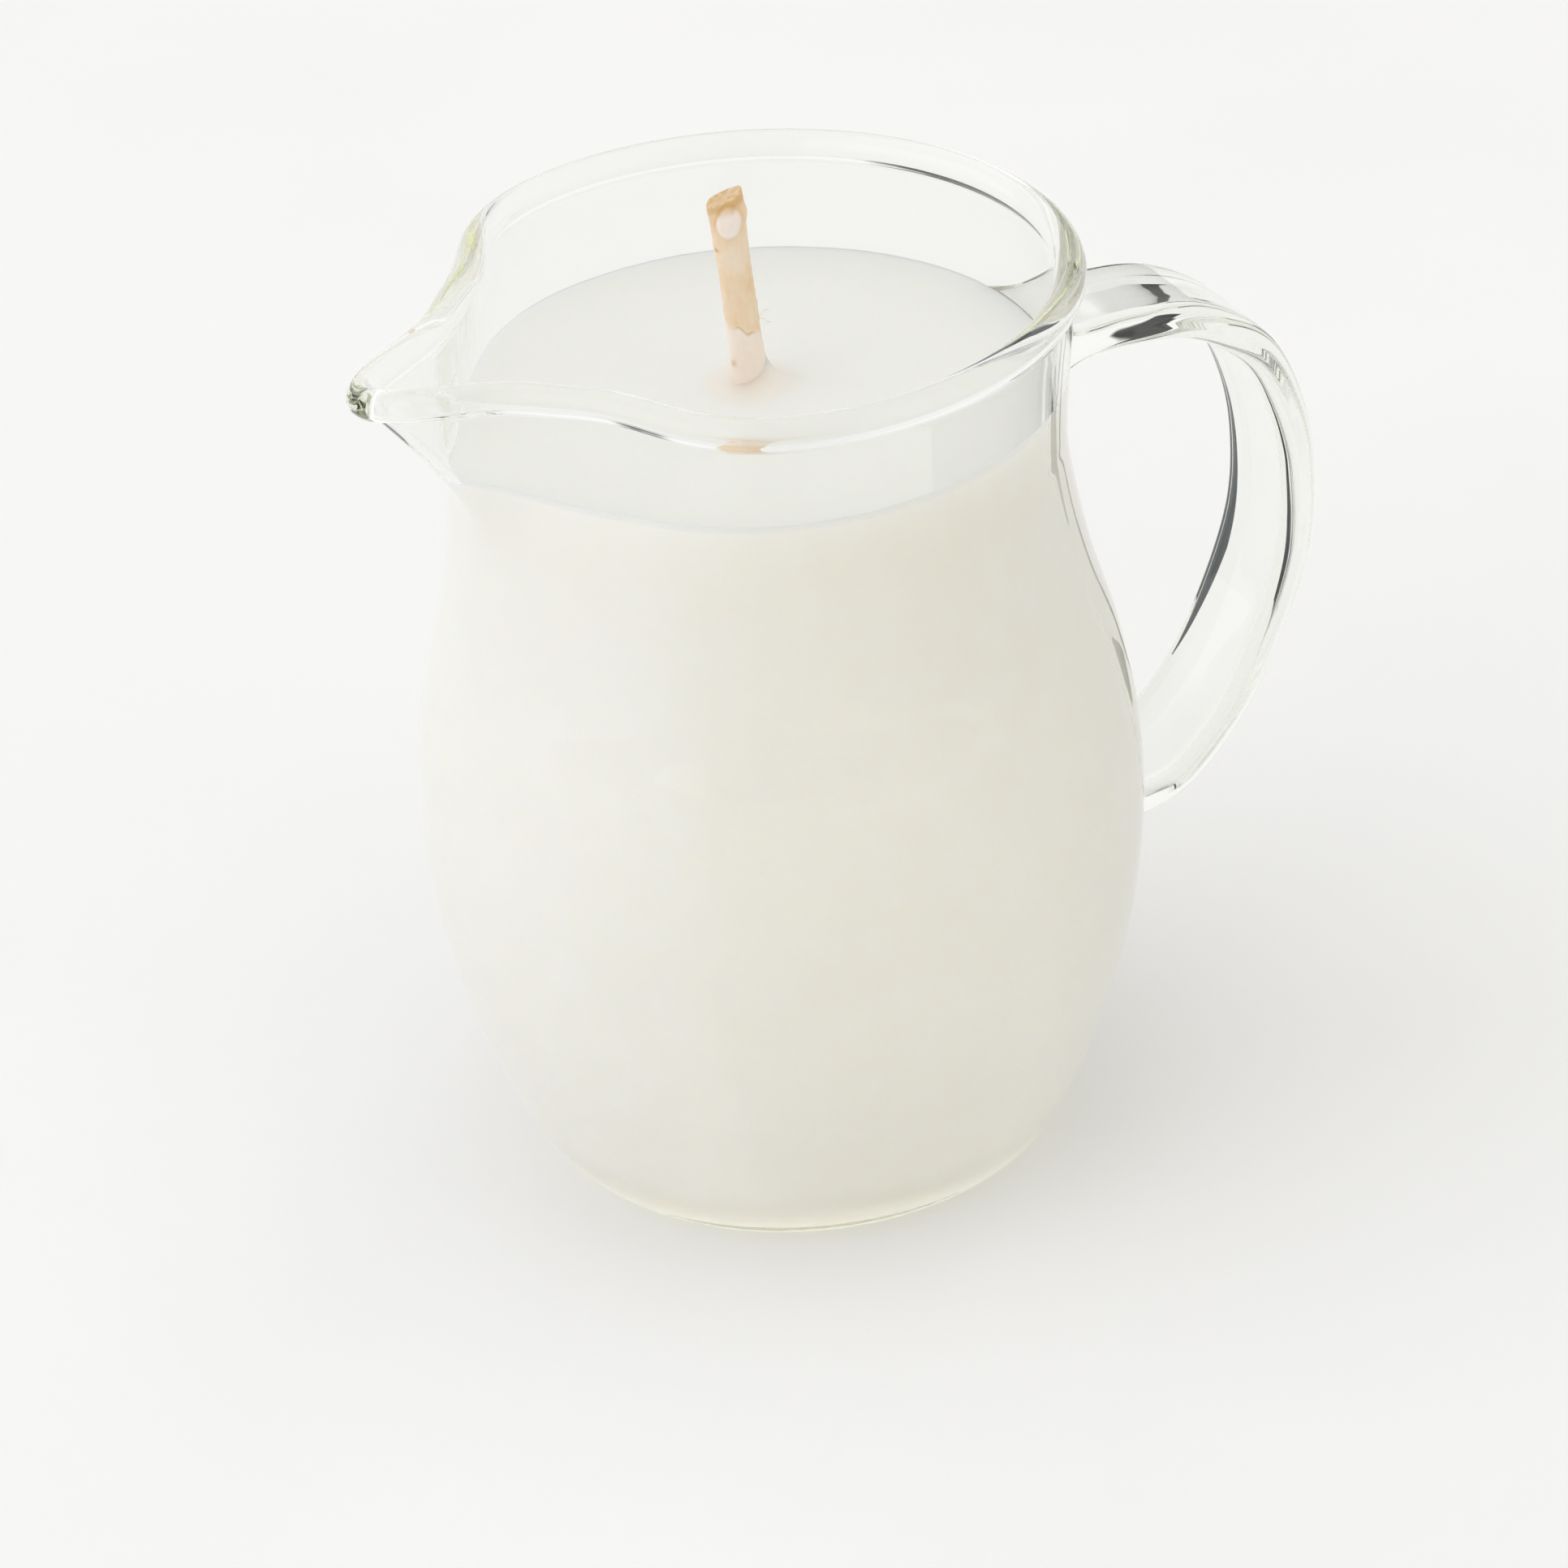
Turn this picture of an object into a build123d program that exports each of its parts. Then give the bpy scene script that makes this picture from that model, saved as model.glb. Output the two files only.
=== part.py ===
from build123d import *
import os
from math import cos, exp, hypot, pi, radians, sin, sqrt

# Clear glass pouring jug (creamer) holding a poured wax candle. Lengths are millimetres.
# Frame: +Z up, origin at the centre of the flat the jug stands on, handle toward +X, spout toward -X.

# Glass jug: blown bowl with a fire-polished bead round the mouth
WALL = 1.8
FLOOR = 2.4
NECK_R = 31.4
NECK_Z = 79.0
BOWL_OUTLINE = [(24.8, 0.0), (27.2, 1.7), (29.9, 6.0), (32.6, 12.9), (35.5, 22.1), (37.3, 33.1),
                (37.5, 44.2), (35.9, 55.2), (33.5, 64.4), (32.0, 72.7), (31.4, 79.0)]
INNER_STATIONS = 13
RIM_R = 32.4
RIM_Z = 97.2
BEAD_R = 1.65

# Lip: a narrow spout drawn out between two pinched shoulders
SPOUT_REACH = 9.4
SPOUT_SPREAD_DEG = 9.8
PINCH_DEPTH = 3.9
PINCH_AT_DEG = 36.0
PINCH_SPREAD_DEG = 21.0
FLARE_POWER = 1.3
NECK_FLARE_POWER = 1.5
LIP_ANGLES = [0, 3, 6, 10, 15, 21, 30, 42, 56, 72, 92, 114, 136, 158]
WALL_LEVELS = [81.4, 83.8, 86.2, 88.6, 91.0, 93.4, 95.6]
BEAD_LEVELS = [-1.2, -0.65, 0.0, 0.65, 1.2, 1.55]
TANGENT_STEP_DEG = 0.5

# Handle: a solid drawn strap, fused to the neck and to the lower bowl
STRAP_WIDTH = 13.4
STRAP_THICK = 4.0
STRAP_EDGE_R = 1.4
GRIP_LINE = [(28.0, 83.3), (40.0, 83.4), (46.3, 82.5), (50.9, 80.3), (55.4, 76.2), (58.3, 69.3),
             (59.4, 61.5), (58.5, 52.2), (52.5, 38.5), (48.2, 32.9), (43.4, 28.9), (39.0, 27.7),
             (31.0, 27.5)]
GRIP_STATIONS = 24
NECK_WELD_R = 30.8
NECK_WELD_SPAN = (73.0, 93.0)
BOWL_WELD_R = 35.5
BOWL_WELD_SPAN = (15.0, 40.0)
SHORTEST_LONG_EDGE = 50.0

# Candle
WAX_TOP_Z = 86.5
WICK_WIDTH = 3.7
WICK_DEPTH = 3.1
WICK_BEND_Z = 82.0
WICK_BEND_R = 60.0
WICK_LEAN_DEG = 4.5
WICK_LEAN_AZ_DEG = 155.0
WICK_TIP_RUN = 22.6
WICK_CUT_DEG = 21.0

# Wick sustainer and the adhesive dot that holds it to the glass floor
DOT_R = 9.0
DOT_THICK = 0.9
DISC_R = 10.0
DISC_THICK = 0.5
CRIMP_R = 2.9
CRIMP_HEIGHT = 6.0
CRIMP_SKIRT = 1.2

# Side and height of the blocks that trim the wax and the wick's tip
TRIM_SIDE = 200.0
TRIM_HEIGHT = 40.0


def flare(z):
    """Share of the full lip shape reached at height z."""
    return min(1.0, (z - NECK_Z) / (RIM_Z - NECK_Z)) ** FLARE_POWER


def lip_radius(deg):
    """Radius of the rim's centre line, at an angle from the spout."""
    a = abs(deg)
    spout = SPOUT_REACH * exp(-((a / SPOUT_SPREAD_DEG) ** 2))
    pinch = PINCH_DEPTH * exp(-(((a - PINCH_AT_DEG) / PINCH_SPREAD_DEG) ** 2))
    return RIM_R + spout - pinch


def mid_wall(deg, z):
    """Middle of the glass wall in the mouth, as x, y at height z."""
    up = min(1.0, (z - NECK_Z) / (RIM_Z - NECK_Z))
    plain = NECK_R - WALL / 2 + (RIM_R - NECK_R + WALL / 2) * up**NECK_FLARE_POWER
    r = plain + flare(z) * (lip_radius(deg) - RIM_R)
    a = pi - radians(deg)
    return r * cos(a), r * sin(a)


def lip_stations():
    """Angles from the spout, all the way round."""
    return LIP_ANGLES + [180] + [-a for a in reversed(LIP_ANGLES) if a > 0]


def closed_curve(points):
    """Smooth closed wire through one point for each station round the jug."""
    turns = [(deg % 360) / 360 for deg in lip_stations()] + [1.0]
    return Wire([Edge.make_spline(points, periodic=True, parameters=turns)])


def mouth_section(z, out):
    """Section of the mouth at height z: the mid-wall curve moved outward by out."""
    points = []
    for deg in lip_stations():
        x, y = mid_wall(deg, z)
        x1, y1 = mid_wall(deg + TANGENT_STEP_DEG, z)
        x0, y0 = mid_wall(deg - TANGENT_STEP_DEG, z)
        tx, ty = x1 - x0, y1 - y0
        size = hypot(tx, ty)
        points.append(Vector(x - out * ty / size, y + out * tx / size, z))
    return closed_curve(points)


def neck_circle(r):
    """Round first section of the mouth, run the same way round as the others."""
    start = Plane(origin=(0, 0, NECK_Z), x_dir=(-1, 0, 0), z_dir=(0, 0, -1))
    return Wire.make_circle(r, start)


def bowl_form(outline, low_z):
    """Everything inside an outline turned round the axis, up to the neck."""
    foot = outline.position_at(0)
    head = outline.position_at(1)
    edges = [
        Edge.make_line((0, 0, low_z), (foot.X, 0, low_z)),
        outline,
        Edge.make_line((head.X, 0, NECK_Z), (0, 0, NECK_Z)),
        Edge.make_line((0, 0, NECK_Z), (0, 0, low_z)),
    ]
    return Solid.revolve(Face(Wire(edges)), 360, Axis.Z)


def mouth_form(side):
    """Everything above the neck inside the outer skin (side 1) or inside the inner skin (side -1)."""
    start = neck_circle(NECK_R if side > 0 else NECK_R - WALL)
    wall = [mouth_section(z, side * WALL / 2) for z in WALL_LEVELS]
    bead = [wall[-1]]
    for rise in BEAD_LEVELS:
        half = sqrt(BEAD_R**2 - rise**2)
        bead.append(mouth_section(RIM_Z + rise, side * half))
    return Solid.make_loft([start] + wall).fuse(Solid.make_loft(bead))


def core(r, span):
    """Upright cylinder on the jug's axis, from the lower to the upper height of its span."""
    return Solid.make_cylinder(r, span[1] - span[0], Plane.XY.offset(span[0]))


def spline_edge(points):
    """Smooth edge in the XZ plane."""
    return Edge.make_spline([Vector(x, 0, z) for x, z in points])


# The inside follows the outside one wall thickness in, over a slightly thicker floor
outer_side = spline_edge(BOWL_OUTLINE)
inner_points = [(BOWL_OUTLINE[0][0] - FLOOR / 2, FLOOR)]
for i in range(1, INNER_STATIONS):
    spot = outer_side.position_at(i / INNER_STATIONS)
    along = outer_side.tangent_at(i / INNER_STATIONS)
    inner_points.append((spot.X - WALL * along.Z, spot.Z + WALL * along.X))
inner_points.append((NECK_R - WALL, NECK_Z))
inner_side = spline_edge(inner_points)

bowl_inside = bowl_form(inner_side, FLOOR)
mouth_inside = mouth_form(-1)
jug_bowl = bowl_form(outer_side, 0).cut(bowl_inside)
jug_mouth = mouth_form(1).cut(mouth_inside)
inner_form = bowl_inside.fuse(mouth_inside)

# Handle: the strap's faces lie half a thickness either side of its centre line, and each end is
# sunk part way into the glass wall, where the hot glass fused
grip = spline_edge(GRIP_LINE)
stations = [i / GRIP_STATIONS for i in range(GRIP_STATIONS + 1)]
faces = []
for side in (1, -1):
    line = []
    for share in stations:
        spot = grip.position_at(share)
        along = grip.tangent_at(share)
        line.append((spot.X + side * along.Z * STRAP_THICK / 2, spot.Z - side * along.X * STRAP_THICK / 2))
    faces.append(spline_edge(line))
top_end = Edge.make_line(faces[0].position_at(0), faces[1].position_at(0))
low_end = Edge.make_line(faces[0].position_at(1), faces[1].position_at(1))
strap_side = Face(Wire([faces[0], low_end, faces[1], top_end]))
strap_side = strap_side.moved(Location((0, -STRAP_WIDTH / 2, 0)))
strap = Solid.extrude(strap_side, Vector(0, STRAP_WIDTH, 0))
long_edges = [e for e in strap.edges() if e.length > SHORTEST_LONG_EDGE]
strap = strap.fillet(STRAP_EDGE_R, long_edges)
handle = strap.cut(core(NECK_WELD_R, NECK_WELD_SPAN), core(BOWL_WELD_R, BOWL_WELD_SPAN))
jug_bowl = jug_bowl.cut(handle)
jug_mouth = jug_mouth.cut(handle)

# Block that stands on whatever plane it is placed on, to trim off what is above
trim_block = Pos(0, 0, TRIM_HEIGHT / 2) * Box(TRIM_SIDE, TRIM_SIDE, TRIM_HEIGHT)

# Wick: upright in the wax, then bending over and leaning, its tip cut on a slant
lean_dir = Vector(cos(radians(WICK_LEAN_AZ_DEG)), sin(radians(WICK_LEAN_AZ_DEG)), 0)
lean = radians(WICK_LEAN_DEG)
bend_start = Vector(0, 0, WICK_BEND_Z)
bend_end = bend_start + lean_dir * WICK_BEND_R * (1 - cos(lean)) + Vector(0, 0, WICK_BEND_R * sin(lean))
tip_dir = lean_dir * sin(lean) + Vector(0, 0, cos(lean))
upright = Edge.make_line(Vector(0, 0, FLOOR + DOT_THICK), bend_start)
bend = Edge.make_tangent_arc(bend_start, Vector(0, 0, 1), bend_end)
tip_run = Edge.make_line(bend_end, bend_end + tip_dir * WICK_TIP_RUN)
foot_plane = Plane(origin=(0, 0, FLOOR + DOT_THICK), x_dir=lean_dir, z_dir=(0, 0, 1))
wick_section = foot_plane * Ellipse(WICK_WIDTH / 2, WICK_DEPTH / 2)
wick = sweep(wick_section, path=Wire([upright, bend, tip_run])).solid()
cut_point = bend_end + tip_dir * (WICK_TIP_RUN - WICK_WIDTH / 2)
cut = radians(WICK_CUT_DEG)
cut_plane = Plane(origin=cut_point, z_dir=Vector(0, 0, cos(cut)) + lean_dir * sin(cut))
wick = wick.cut((cut_plane * trim_block).solid())

# Sustainer: a pressed disc with a crimped neck round the foot of the wick, on an adhesive dot
dot = Solid.make_cylinder(DOT_R, DOT_THICK, Plane.XY.offset(FLOOR))
disc_z = FLOOR + DOT_THICK
disc = Solid.make_cylinder(DISC_R, DISC_THICK, Plane.XY.offset(disc_z))
crimp = Solid.make_cone(DISC_R / 2, CRIMP_R, CRIMP_SKIRT, Plane.XY.offset(disc_z + DISC_THICK))
neck = Solid.make_cylinder(CRIMP_R, CRIMP_HEIGHT, Plane.XY.offset(disc_z + DISC_THICK))
sustainer = disc.fuse(crimp, neck).cut(wick)

# Wax: fills the glass to its level, round the wick and over the sustainer
headroom = Pos(0, 0, WAX_TOP_Z) * trim_block
wax_fill = inner_form.cut(headroom.solid(), wick, sustainer, dot)

NODES = {
    "jug_bowl": jug_bowl,
    "jug_mouth": jug_mouth,
    "handle": handle,
    "wax_fill": wax_fill,
    "wick": wick,
    "wick_sustainer": sustainer,
    "adhesive_dot": dot,
}

os.makedirs("parts", exist_ok=True)
for name, shape in NODES.items():
    shape.label = name
    export_step(shape, f"parts/{name}.step")
    size = shape.bounding_box().size
    print(name, round(shape.volume, 1), [round(v, 2) for v in size], shape.is_valid)
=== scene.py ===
from math import cos, exp, hypot, pi, radians, sin, sqrt

import bmesh
import bpy
from mathutils import Matrix, Vector, noise


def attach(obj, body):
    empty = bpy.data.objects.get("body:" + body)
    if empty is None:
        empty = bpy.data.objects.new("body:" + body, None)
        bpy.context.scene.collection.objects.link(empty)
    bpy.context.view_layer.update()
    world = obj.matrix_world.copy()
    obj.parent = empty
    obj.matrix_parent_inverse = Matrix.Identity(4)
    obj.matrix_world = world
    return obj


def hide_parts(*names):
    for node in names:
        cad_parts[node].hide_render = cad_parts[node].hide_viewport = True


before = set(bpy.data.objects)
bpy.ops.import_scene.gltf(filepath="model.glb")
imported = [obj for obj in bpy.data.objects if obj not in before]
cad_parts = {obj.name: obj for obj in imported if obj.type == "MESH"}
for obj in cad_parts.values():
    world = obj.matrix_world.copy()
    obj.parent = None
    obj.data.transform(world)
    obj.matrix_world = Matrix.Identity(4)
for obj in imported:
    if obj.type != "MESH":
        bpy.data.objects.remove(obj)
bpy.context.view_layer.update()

MM = 0.001
UP = Vector((0, 0, 1))

# Glass jug, with outlines as (radius, height)
WALL = 1.8
FLOOR_THICK = 2.4
NECK_R = 31.4
NECK_Z = 79.0
BOWL_OUTLINE = [(24.8, 0.0), (27.2, 1.7), (29.9, 6.0), (32.6, 12.9), (35.5, 22.1), (37.3, 33.1),
                (37.5, 44.2), (35.9, 55.2), (33.5, 64.4), (32.0, 72.7)]
RIM_R = 32.4
RIM_Z = 97.2
WALL_LEVELS = [NECK_Z + 2.4 * k for k in range(7)] + [RIM_Z - 1.9]

# Foot: a shallow punt inside the ring that the jug stands on, and a level floor inside
PUNT_RISE = 0.5
PUNT_R = 22.5
PUNT_RINGS = (8.0, 16.0, 21.0)
FOOT_ROUND = (23.3, 0.02)
FLOOR_RINGS = (22.0, 16.0, 8.0)
FLOOR_FILLET = 1.0

# Fire-polished bead, which leaves the wall this angle (radians) below its own level
BEAD_R = 1.65
BEAD_START = -0.9

# Lip: a narrow spout between two pinched shoulders that stand a little proud
SPOUT_REACH = 9.4
SPOUT_SPREAD_DEG = 9.8
SPOUT_DROOP = 0.9
PINCH_DEPTH = 3.9
PINCH_AT_DEG = 36.0
PINCH_SPREAD_DEG = 21.0
SHOULDER_RISE = 0.5
SHOULDER_SPREAD_DEG = 16.0
FLARE_POWER = 1.3
NECK_FLARE_POWER = 1.5

# Handle strap: centre line (x, z) in the plane y = 0. It swells toward each weld, by shares of its
# width and thickness, over a run along the line.
STRAP_WIDTH = 13.4
STRAP_THICK = 4.0
STRAP_EDGE_R = 1.7
GRIP_LINE = [(29.6, 83.3), (40.0, 83.4), (46.3, 82.5), (50.9, 80.3), (55.4, 76.2), (58.3, 69.3),
             (59.4, 61.5), (58.5, 52.2), (52.5, 38.5), (48.2, 32.9), (43.4, 28.9), (39.0, 27.7),
             (34.3, 27.5)]
NECK_WELD_RUN = 3.6
NECK_WELD_SWELL = (0.14, 0.45)
BOWL_WELD_RUN = 3.2
BOWL_WELD_SWELL = (0.05, 0.30)

# Wax. It reaches WAX_OVERLAP into the glass, so that no air shows between them. Fillets are (height,
# run), waves (height, frequency, seed).
WAX_TOP_Z = 86.5
WAX_OVERLAP = 0.08
WAX_LEVEL_DROP = 0.15
WAX_EDGE_DROP = 0.9
WICK_FILLET = (1.3, 0.8)
WICK_CONE = (2.7, 1.5)
CONE_TURN = 0.35
GLASS_CLIMB = (0.22, 0.9)
WAX_WAVES = ((0.12, 0.07, 3.1), (0.025, 0.5, 7.7))
WAX_TOP_SHARES = [0.994, 0.985, 0.972, 0.955, 0.93, 0.89, 0.84, 0.78, 0.71, 0.64, 0.57, 0.50, 0.43, 0.37,
                  0.31] + [0.27 - 0.0125 * k for k in range(21)]

# Wick: straight in the wax, leaning over it, cut on a slant at the tip
WICK_WIDTH = 3.35
WICK_DEPTH = 2.9
WICK_SQUARENESS = 3.6
WICK_FOOT_Z = 4.0
WICK_BEND_Z = 82.0
WICK_BEND_SOFTNESS = 4.0
WICK_LEAN_DEG = 3.8
WICK_LEAN_AZ_DEG = 155.0
WICK_TIP_RUN = 25.1
WICK_CUT_DEG = 21.0
WICK_TIP_Z = WICK_BEND_Z + WICK_TIP_RUN
CUT_SLOPE = 1.05 * sin(radians(WICK_CUT_DEG))
CUT_RUN = 6.0
LEAN = Vector((cos(radians(WICK_LEAN_AZ_DEG)), sin(radians(WICK_LEAN_AZ_DEG)), 0))
SIDE = Vector((-sin(radians(WICK_LEAN_AZ_DEG)), cos(radians(WICK_LEAN_AZ_DEG)), 0))

# Wick surface: heights of its braid, lumps and grain, swellings (height, run) at the tip and at the wax
BRAID_HEIGHT = 0.03
BRAID_PITCH = 2.2
LUMP_HEIGHT = 0.12
GRAIN_HEIGHT = 0.06
TIP_SWELL = (0.10, 5.0)
FOOT_SWELL = (0.16, 4.5)
FRAY_HEIGHT = 0.13
TIP_RINGS = ((0.93, 0.06), (0.75, 0.12), (0.5, -0.04), (0.25, 0.18))

# Marks on the wick: angles from the lean direction, with the broad front at 90 degrees, heights over
# the wax or drops below the tip, radii of the marks, and the wick's mean radius
MEAN_R = 1.6
TIP_OVER = WICK_TIP_Z - WAX_TOP_Z
CRACK_OVER = 6.4
CRACK_TILT = 0.75
CRACK_JAG = 0.22
CRACK_JAGS = 7.0
CRACK_WIDTH = 0.11
COAT_STEP = 0.09
BLOB_TURN = pi / 2 + 0.05
BLOB_DROP = 2.2
BLOB_SIZE = (1.25, 1.9)
BLOB_HEIGHT = 0.30
KNOB_DEG = 158.0
KNOB_DROP = 1.9
KNOB_R = 0.9
KNOB_HEIGHT = 0.30
SPECK_DEG = 35.0
SPECK_OVER = 15.4
SPECK_R = 0.22
SPOT_DEG = 46.0
SPOT_OVER = 2.9
SPOT_R = 0.24
SPOT_STRETCH = 1.5
FIBRE_TURN = pi - 0.45
FIBRE_OVER = 7.6
FIBRE_R = 0.022
FIBRE_MARK = (0.3, 0.0, 0.0)

# Mesh fineness
ROUND_STEPS = 360
PROFILE_STEPS = 6
BEAD_STEPS = 14
GRIP_STEPS = 22
CORNER_STEPS = 11
FLAT_STEPS = 8
WICK_STEPS = 120
BURIED_LEVELS = 30
OPEN_LEVELS = 170
FIBRE_STEPS = 6
ANGLES = [360.0 * i / ROUND_STEPS for i in range(ROUND_STEPS)]

# Studio floor, and the dark card's height and corners
FLOOR_GAP = 0.05
FLOOR_STEPS = 96
STUDIO_FLOOR_RINGS = (300.0, 900.0, 2500.0, 6000.0)
CARD_Z = 2.0
CARD_CORNERS = [(86.0, -220.0), (420.0, -220.0), (420.0, 55.0), (108.0, 55.0), (84.0, 12.0)]

# Lamps: name, place, aim, size, power in watts, colour
LAMPS = [
    ("fill", (0.20, -0.70, 0.06), (0, 0, 0.02), (0.9, 0.2), 0.9, (1, 1, 1)),
    ("window", (-0.58, 0.10, 0.12), (0, 0, 0.04), (0.5, 0.35), 0.64, (0.88, 0.96, 1.35)),
    ("table_bounce", (0, 0, 0.0005), (0, 0, 1), (0.17, 0.17), 0.046, (1, 1, 1)),
]

# World: its plain level and its darkest, the dim patch behind the camera as azimuth, elevation, inner
# and outer radius and gain, and boxes as azimuth, half width, lowest and highest elevation, edge and gain
WORLD_LEVEL = 0.99
WORLD_DARKEST = 0.02
WORLD_COLOUR = (1.0, 0.997, 0.99, 1)
WORLD_PATCH = (245.0, 25.0, 15.0, 50.0, -0.30)
WORLD_BOXES = [
    (174.5, 47.0, -6.0, 48.0, 4.0, 0.36),
    (20.0, 72.0, -12.0, 7.0, 5.0, -0.10),
    (52.5, 8.5, 4.0, 36.0, 2.0, -0.95),
]

# Camera: place, azimuth, elevation and roll of its view, lens
CAMERA_PLACE = (-252.276, -554.124, 401.352)
CAMERA_VIEW_DEG = (65.5, -30.7385, -4.1732)
CAMERA_LENS = 156.46


# ---------------------------------------------------------------- helpers

def add_mesh(name, points, faces, smooth=True):
    """Make an object from points in millimetres."""
    mesh = bpy.data.meshes.new(name)
    mesh.from_pydata([tuple(c * MM for c in p) for p in points], [], faces)
    mesh.validate()
    for face in mesh.polygons:
        face.use_smooth = smooth
    obj = bpy.data.objects.new(name, mesh)
    bpy.context.scene.collection.objects.link(obj)
    return obj


def face_out(obj):
    """Turn the faces of a closed mesh to the outside."""
    bm = bmesh.new()
    bm.from_mesh(obj.data)
    bmesh.ops.recalc_face_normals(bm, faces=bm.faces)
    bm.to_mesh(obj.data)
    bm.free()


def closed_mesh(name, rings, first_cap, last_cap):
    """Make a closed object from equal rings of points and a cap point at each end."""
    points = [p for ring in rings for p in ring] + [first_cap, last_cap]
    n = len(rings[0])
    index = [list(range(k * n, (k + 1) * n)) for k in range(len(rings))]
    obj = add_mesh(name, points, skin(index, len(points) - 2, len(points) - 1))
    face_out(obj)
    return obj


def skin(rings, first_cap=None, last_cap=None):
    """Faces that join equal rings of vertex indices, closed at each end by a cap point."""
    faces = []
    for low, high in zip(rings, rings[1:]):
        n = len(low)
        faces += [(low[i], low[(i + 1) % n], high[(i + 1) % n], high[i]) for i in range(n)]
    for ring, cap, flip in ((rings[0], first_cap, True), (rings[-1], last_cap, False)):
        if cap is None:
            continue
        n = len(ring)
        for i in range(n):
            a, b = ring[i], ring[(i + 1) % n]
            faces.append((b, a, cap) if flip else (a, b, cap))
    return faces


def smooth_curve(points, steps):
    """Catmull-Rom curve through points of any dimension, with steps samples per stretch."""
    ends = [tuple(2 * a - b for a, b in zip(points[0], points[1])),
            tuple(2 * a - b for a, b in zip(points[-1], points[-2]))]
    ctrl = [ends[0]] + list(points) + [ends[1]]
    knots = [0.0]
    for a, b in zip(ctrl, ctrl[1:]):
        knots.append(knots[-1] + sqrt(max(1e-9, sqrt(sum((p - q) ** 2 for p, q in zip(a, b))))))
    samples = []
    for i in range(1, len(ctrl) - 2):
        for s in range(steps):
            samples.append(catmull(ctrl[i - 1:i + 3], knots[i - 1:i + 3], s / steps))
    samples.append(tuple(points[-1]))
    return samples


def catmull(p, t, share):
    """Point at share of the middle stretch of four control points p with knots t."""
    at = t[1] + (t[2] - t[1]) * share

    def blend(a, b, ta, tb):
        return tuple(x + (y - x) * (at - ta) / (tb - ta) for x, y in zip(a, b))

    a1, a2, a3 = (blend(p[i], p[i + 1], t[i], t[i + 1]) for i in range(3))
    b1 = blend(a1, a2, t[0], t[2])
    b2 = blend(a2, a3, t[1], t[3])
    return blend(b1, b2, t[1], t[2])


def bell(x, spread):
    return exp(-(x / spread) ** 2)


def smoothstep(low, high, x):
    t = min(1.0, max(0.0, (x - low) / (high - low)))
    return t * t * (3 - 2 * t)


def fade(gap, height, run):
    """Height of a fillet that dies away over a run."""
    return height * exp(-gap / run)


# ---------------------------------------------------------------- glass jug

def lip_radius(deg):
    """Radius of the rim's centre line, at an angle from the spout."""
    pinch = PINCH_DEPTH * bell(abs(deg) - PINCH_AT_DEG, PINCH_SPREAD_DEG)
    return RIM_R + SPOUT_REACH * bell(deg, SPOUT_SPREAD_DEG) - pinch


def lip_lift(deg):
    """Height of the rim over its level, at an angle from the spout."""
    shoulder = SHOULDER_RISE * bell(abs(deg) - PINCH_AT_DEG, SHOULDER_SPREAD_DEG)
    return shoulder - SPOUT_DROOP * bell(deg, SPOUT_SPREAD_DEG)


def height_share(z):
    """Share of the way from the neck up to the rim."""
    return min(1.0, max(0.0, (z - NECK_Z) / (RIM_Z - NECK_Z)))


def mid_wall(deg, z):
    """Radius of the middle of the wall, at an angle from the spout and a height from the neck up."""
    up = height_share(z)
    plain = NECK_R - WALL / 2 + (RIM_R - NECK_R + WALL / 2) * up ** NECK_FLARE_POWER
    return plain + up ** FLARE_POWER * (lip_radius(deg) - RIM_R)


def signed(deg):
    return deg - 360 if deg > 180 else deg


def offset_ring(z, off):
    """Ring at height z, off millimetres outside the middle of the wall along the level normal."""
    mid = []
    for deg in ANGLES:
        r = mid_wall(signed(deg), z)
        a = pi - radians(deg)
        mid.append((r * cos(a), r * sin(a)))
    ring = []
    for i, (x, y) in enumerate(mid):
        after = mid[(i + 1) % len(mid)]
        tx, ty = after[0] - mid[i - 1][0], after[1] - mid[i - 1][1]
        size = hypot(tx, ty)
        nx, ny = -ty / size, tx / size
        rise = height_share(z) ** FLARE_POWER * lip_lift(signed(ANGLES[i]))
        ring.append((x + nx * off, y + ny * off, z + rise))
    return ring


def round_ring(r, z):
    return [(r * cos(pi - radians(d)), r * sin(pi - radians(d)), z) for d in ANGLES]


def bowl_inner():
    """Inner line of the bowl, the outer line moved in by the wall."""
    line = [(BOWL_OUTLINE[0][0] - FLOOR_THICK / 2, FLOOR_THICK)]
    outer = BOWL_OUTLINE + [(NECK_R, NECK_Z)]
    for before, here, after in zip(outer, outer[1:], outer[2:]):
        tx, tz = after[0] - before[0], after[1] - before[1]
        size = hypot(tx, tz)
        r, z = here[0] - tz / size * WALL, here[1] + tx / size * WALL
        if z > FLOOR_THICK + FLOOR_FILLET:
            line.append((r, z))
    return line


def wall_rings(side):
    """Rings up one side of the wall (+1 outer, -1 inner) from the foot to the bead, smooth upward."""
    foot = BOWL_OUTLINE if side > 0 else bowl_inner()
    rings = [round_ring(r, z) for r, z in foot] + [offset_ring(z, side * WALL / 2) for z in WALL_LEVELS]
    columns = [smooth_curve([ring[i] for ring in rings], PROFILE_STEPS) for i in range(ROUND_STEPS)]
    return [list(ring) for ring in zip(*columns)]


def bead_rings():
    """Rings round the fire-polished bead, from its outer foot over the top to the inner foot."""
    rings = []
    for k in range(BEAD_STEPS + 1):
        turn = BEAD_START + (pi - 2 * BEAD_START) * k / BEAD_STEPS
        rise, off = BEAD_R * sin(turn), BEAD_R * cos(turn)
        rings.append([(x, y, z + rise) for x, y, z in offset_ring(RIM_Z, off)])
    return rings


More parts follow.
